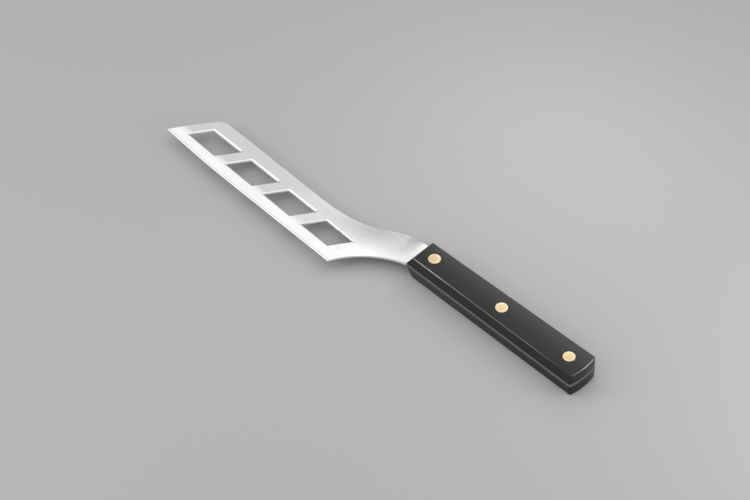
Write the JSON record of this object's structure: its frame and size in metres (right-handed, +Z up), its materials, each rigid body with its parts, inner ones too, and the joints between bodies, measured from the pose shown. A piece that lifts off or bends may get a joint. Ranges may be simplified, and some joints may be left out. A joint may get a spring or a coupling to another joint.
{
  "type": "foie gras knife",
  "caption": "Table knife with a thin slant-ended blade pierced by slanted windows, a cranked neck and a black riveted full-tang handle, for slicing soft terrines.",
  "frame": {"origin": "on the supporting surface, under the middle of the bounding box", "axes": "+X along the handle from blade to butt, +Y from the cutting edge towards the spine, +Z up out of the upper handle scale"},
  "size_m": [0.2606, 0.0436, 0.0146],
  "materials": {
    "blade_steel": "satin",
    "handle_plastic": "satin",
    "rivet_brass": "satin"
  },
  "bodies": {
    "root": {"blade_and_tang": "blade_steel", "upper_scale": "handle_plastic", "lower_scale": "handle_plastic", "front_rivet_male": "rivet_brass", "front_rivet_female": "rivet_brass", "middle_rivet_male": "rivet_brass", "middle_rivet_female": "rivet_brass", "rear_rivet_male": "rivet_brass", "rear_rivet_female": "rivet_brass"}
  },
  "joints": []
}
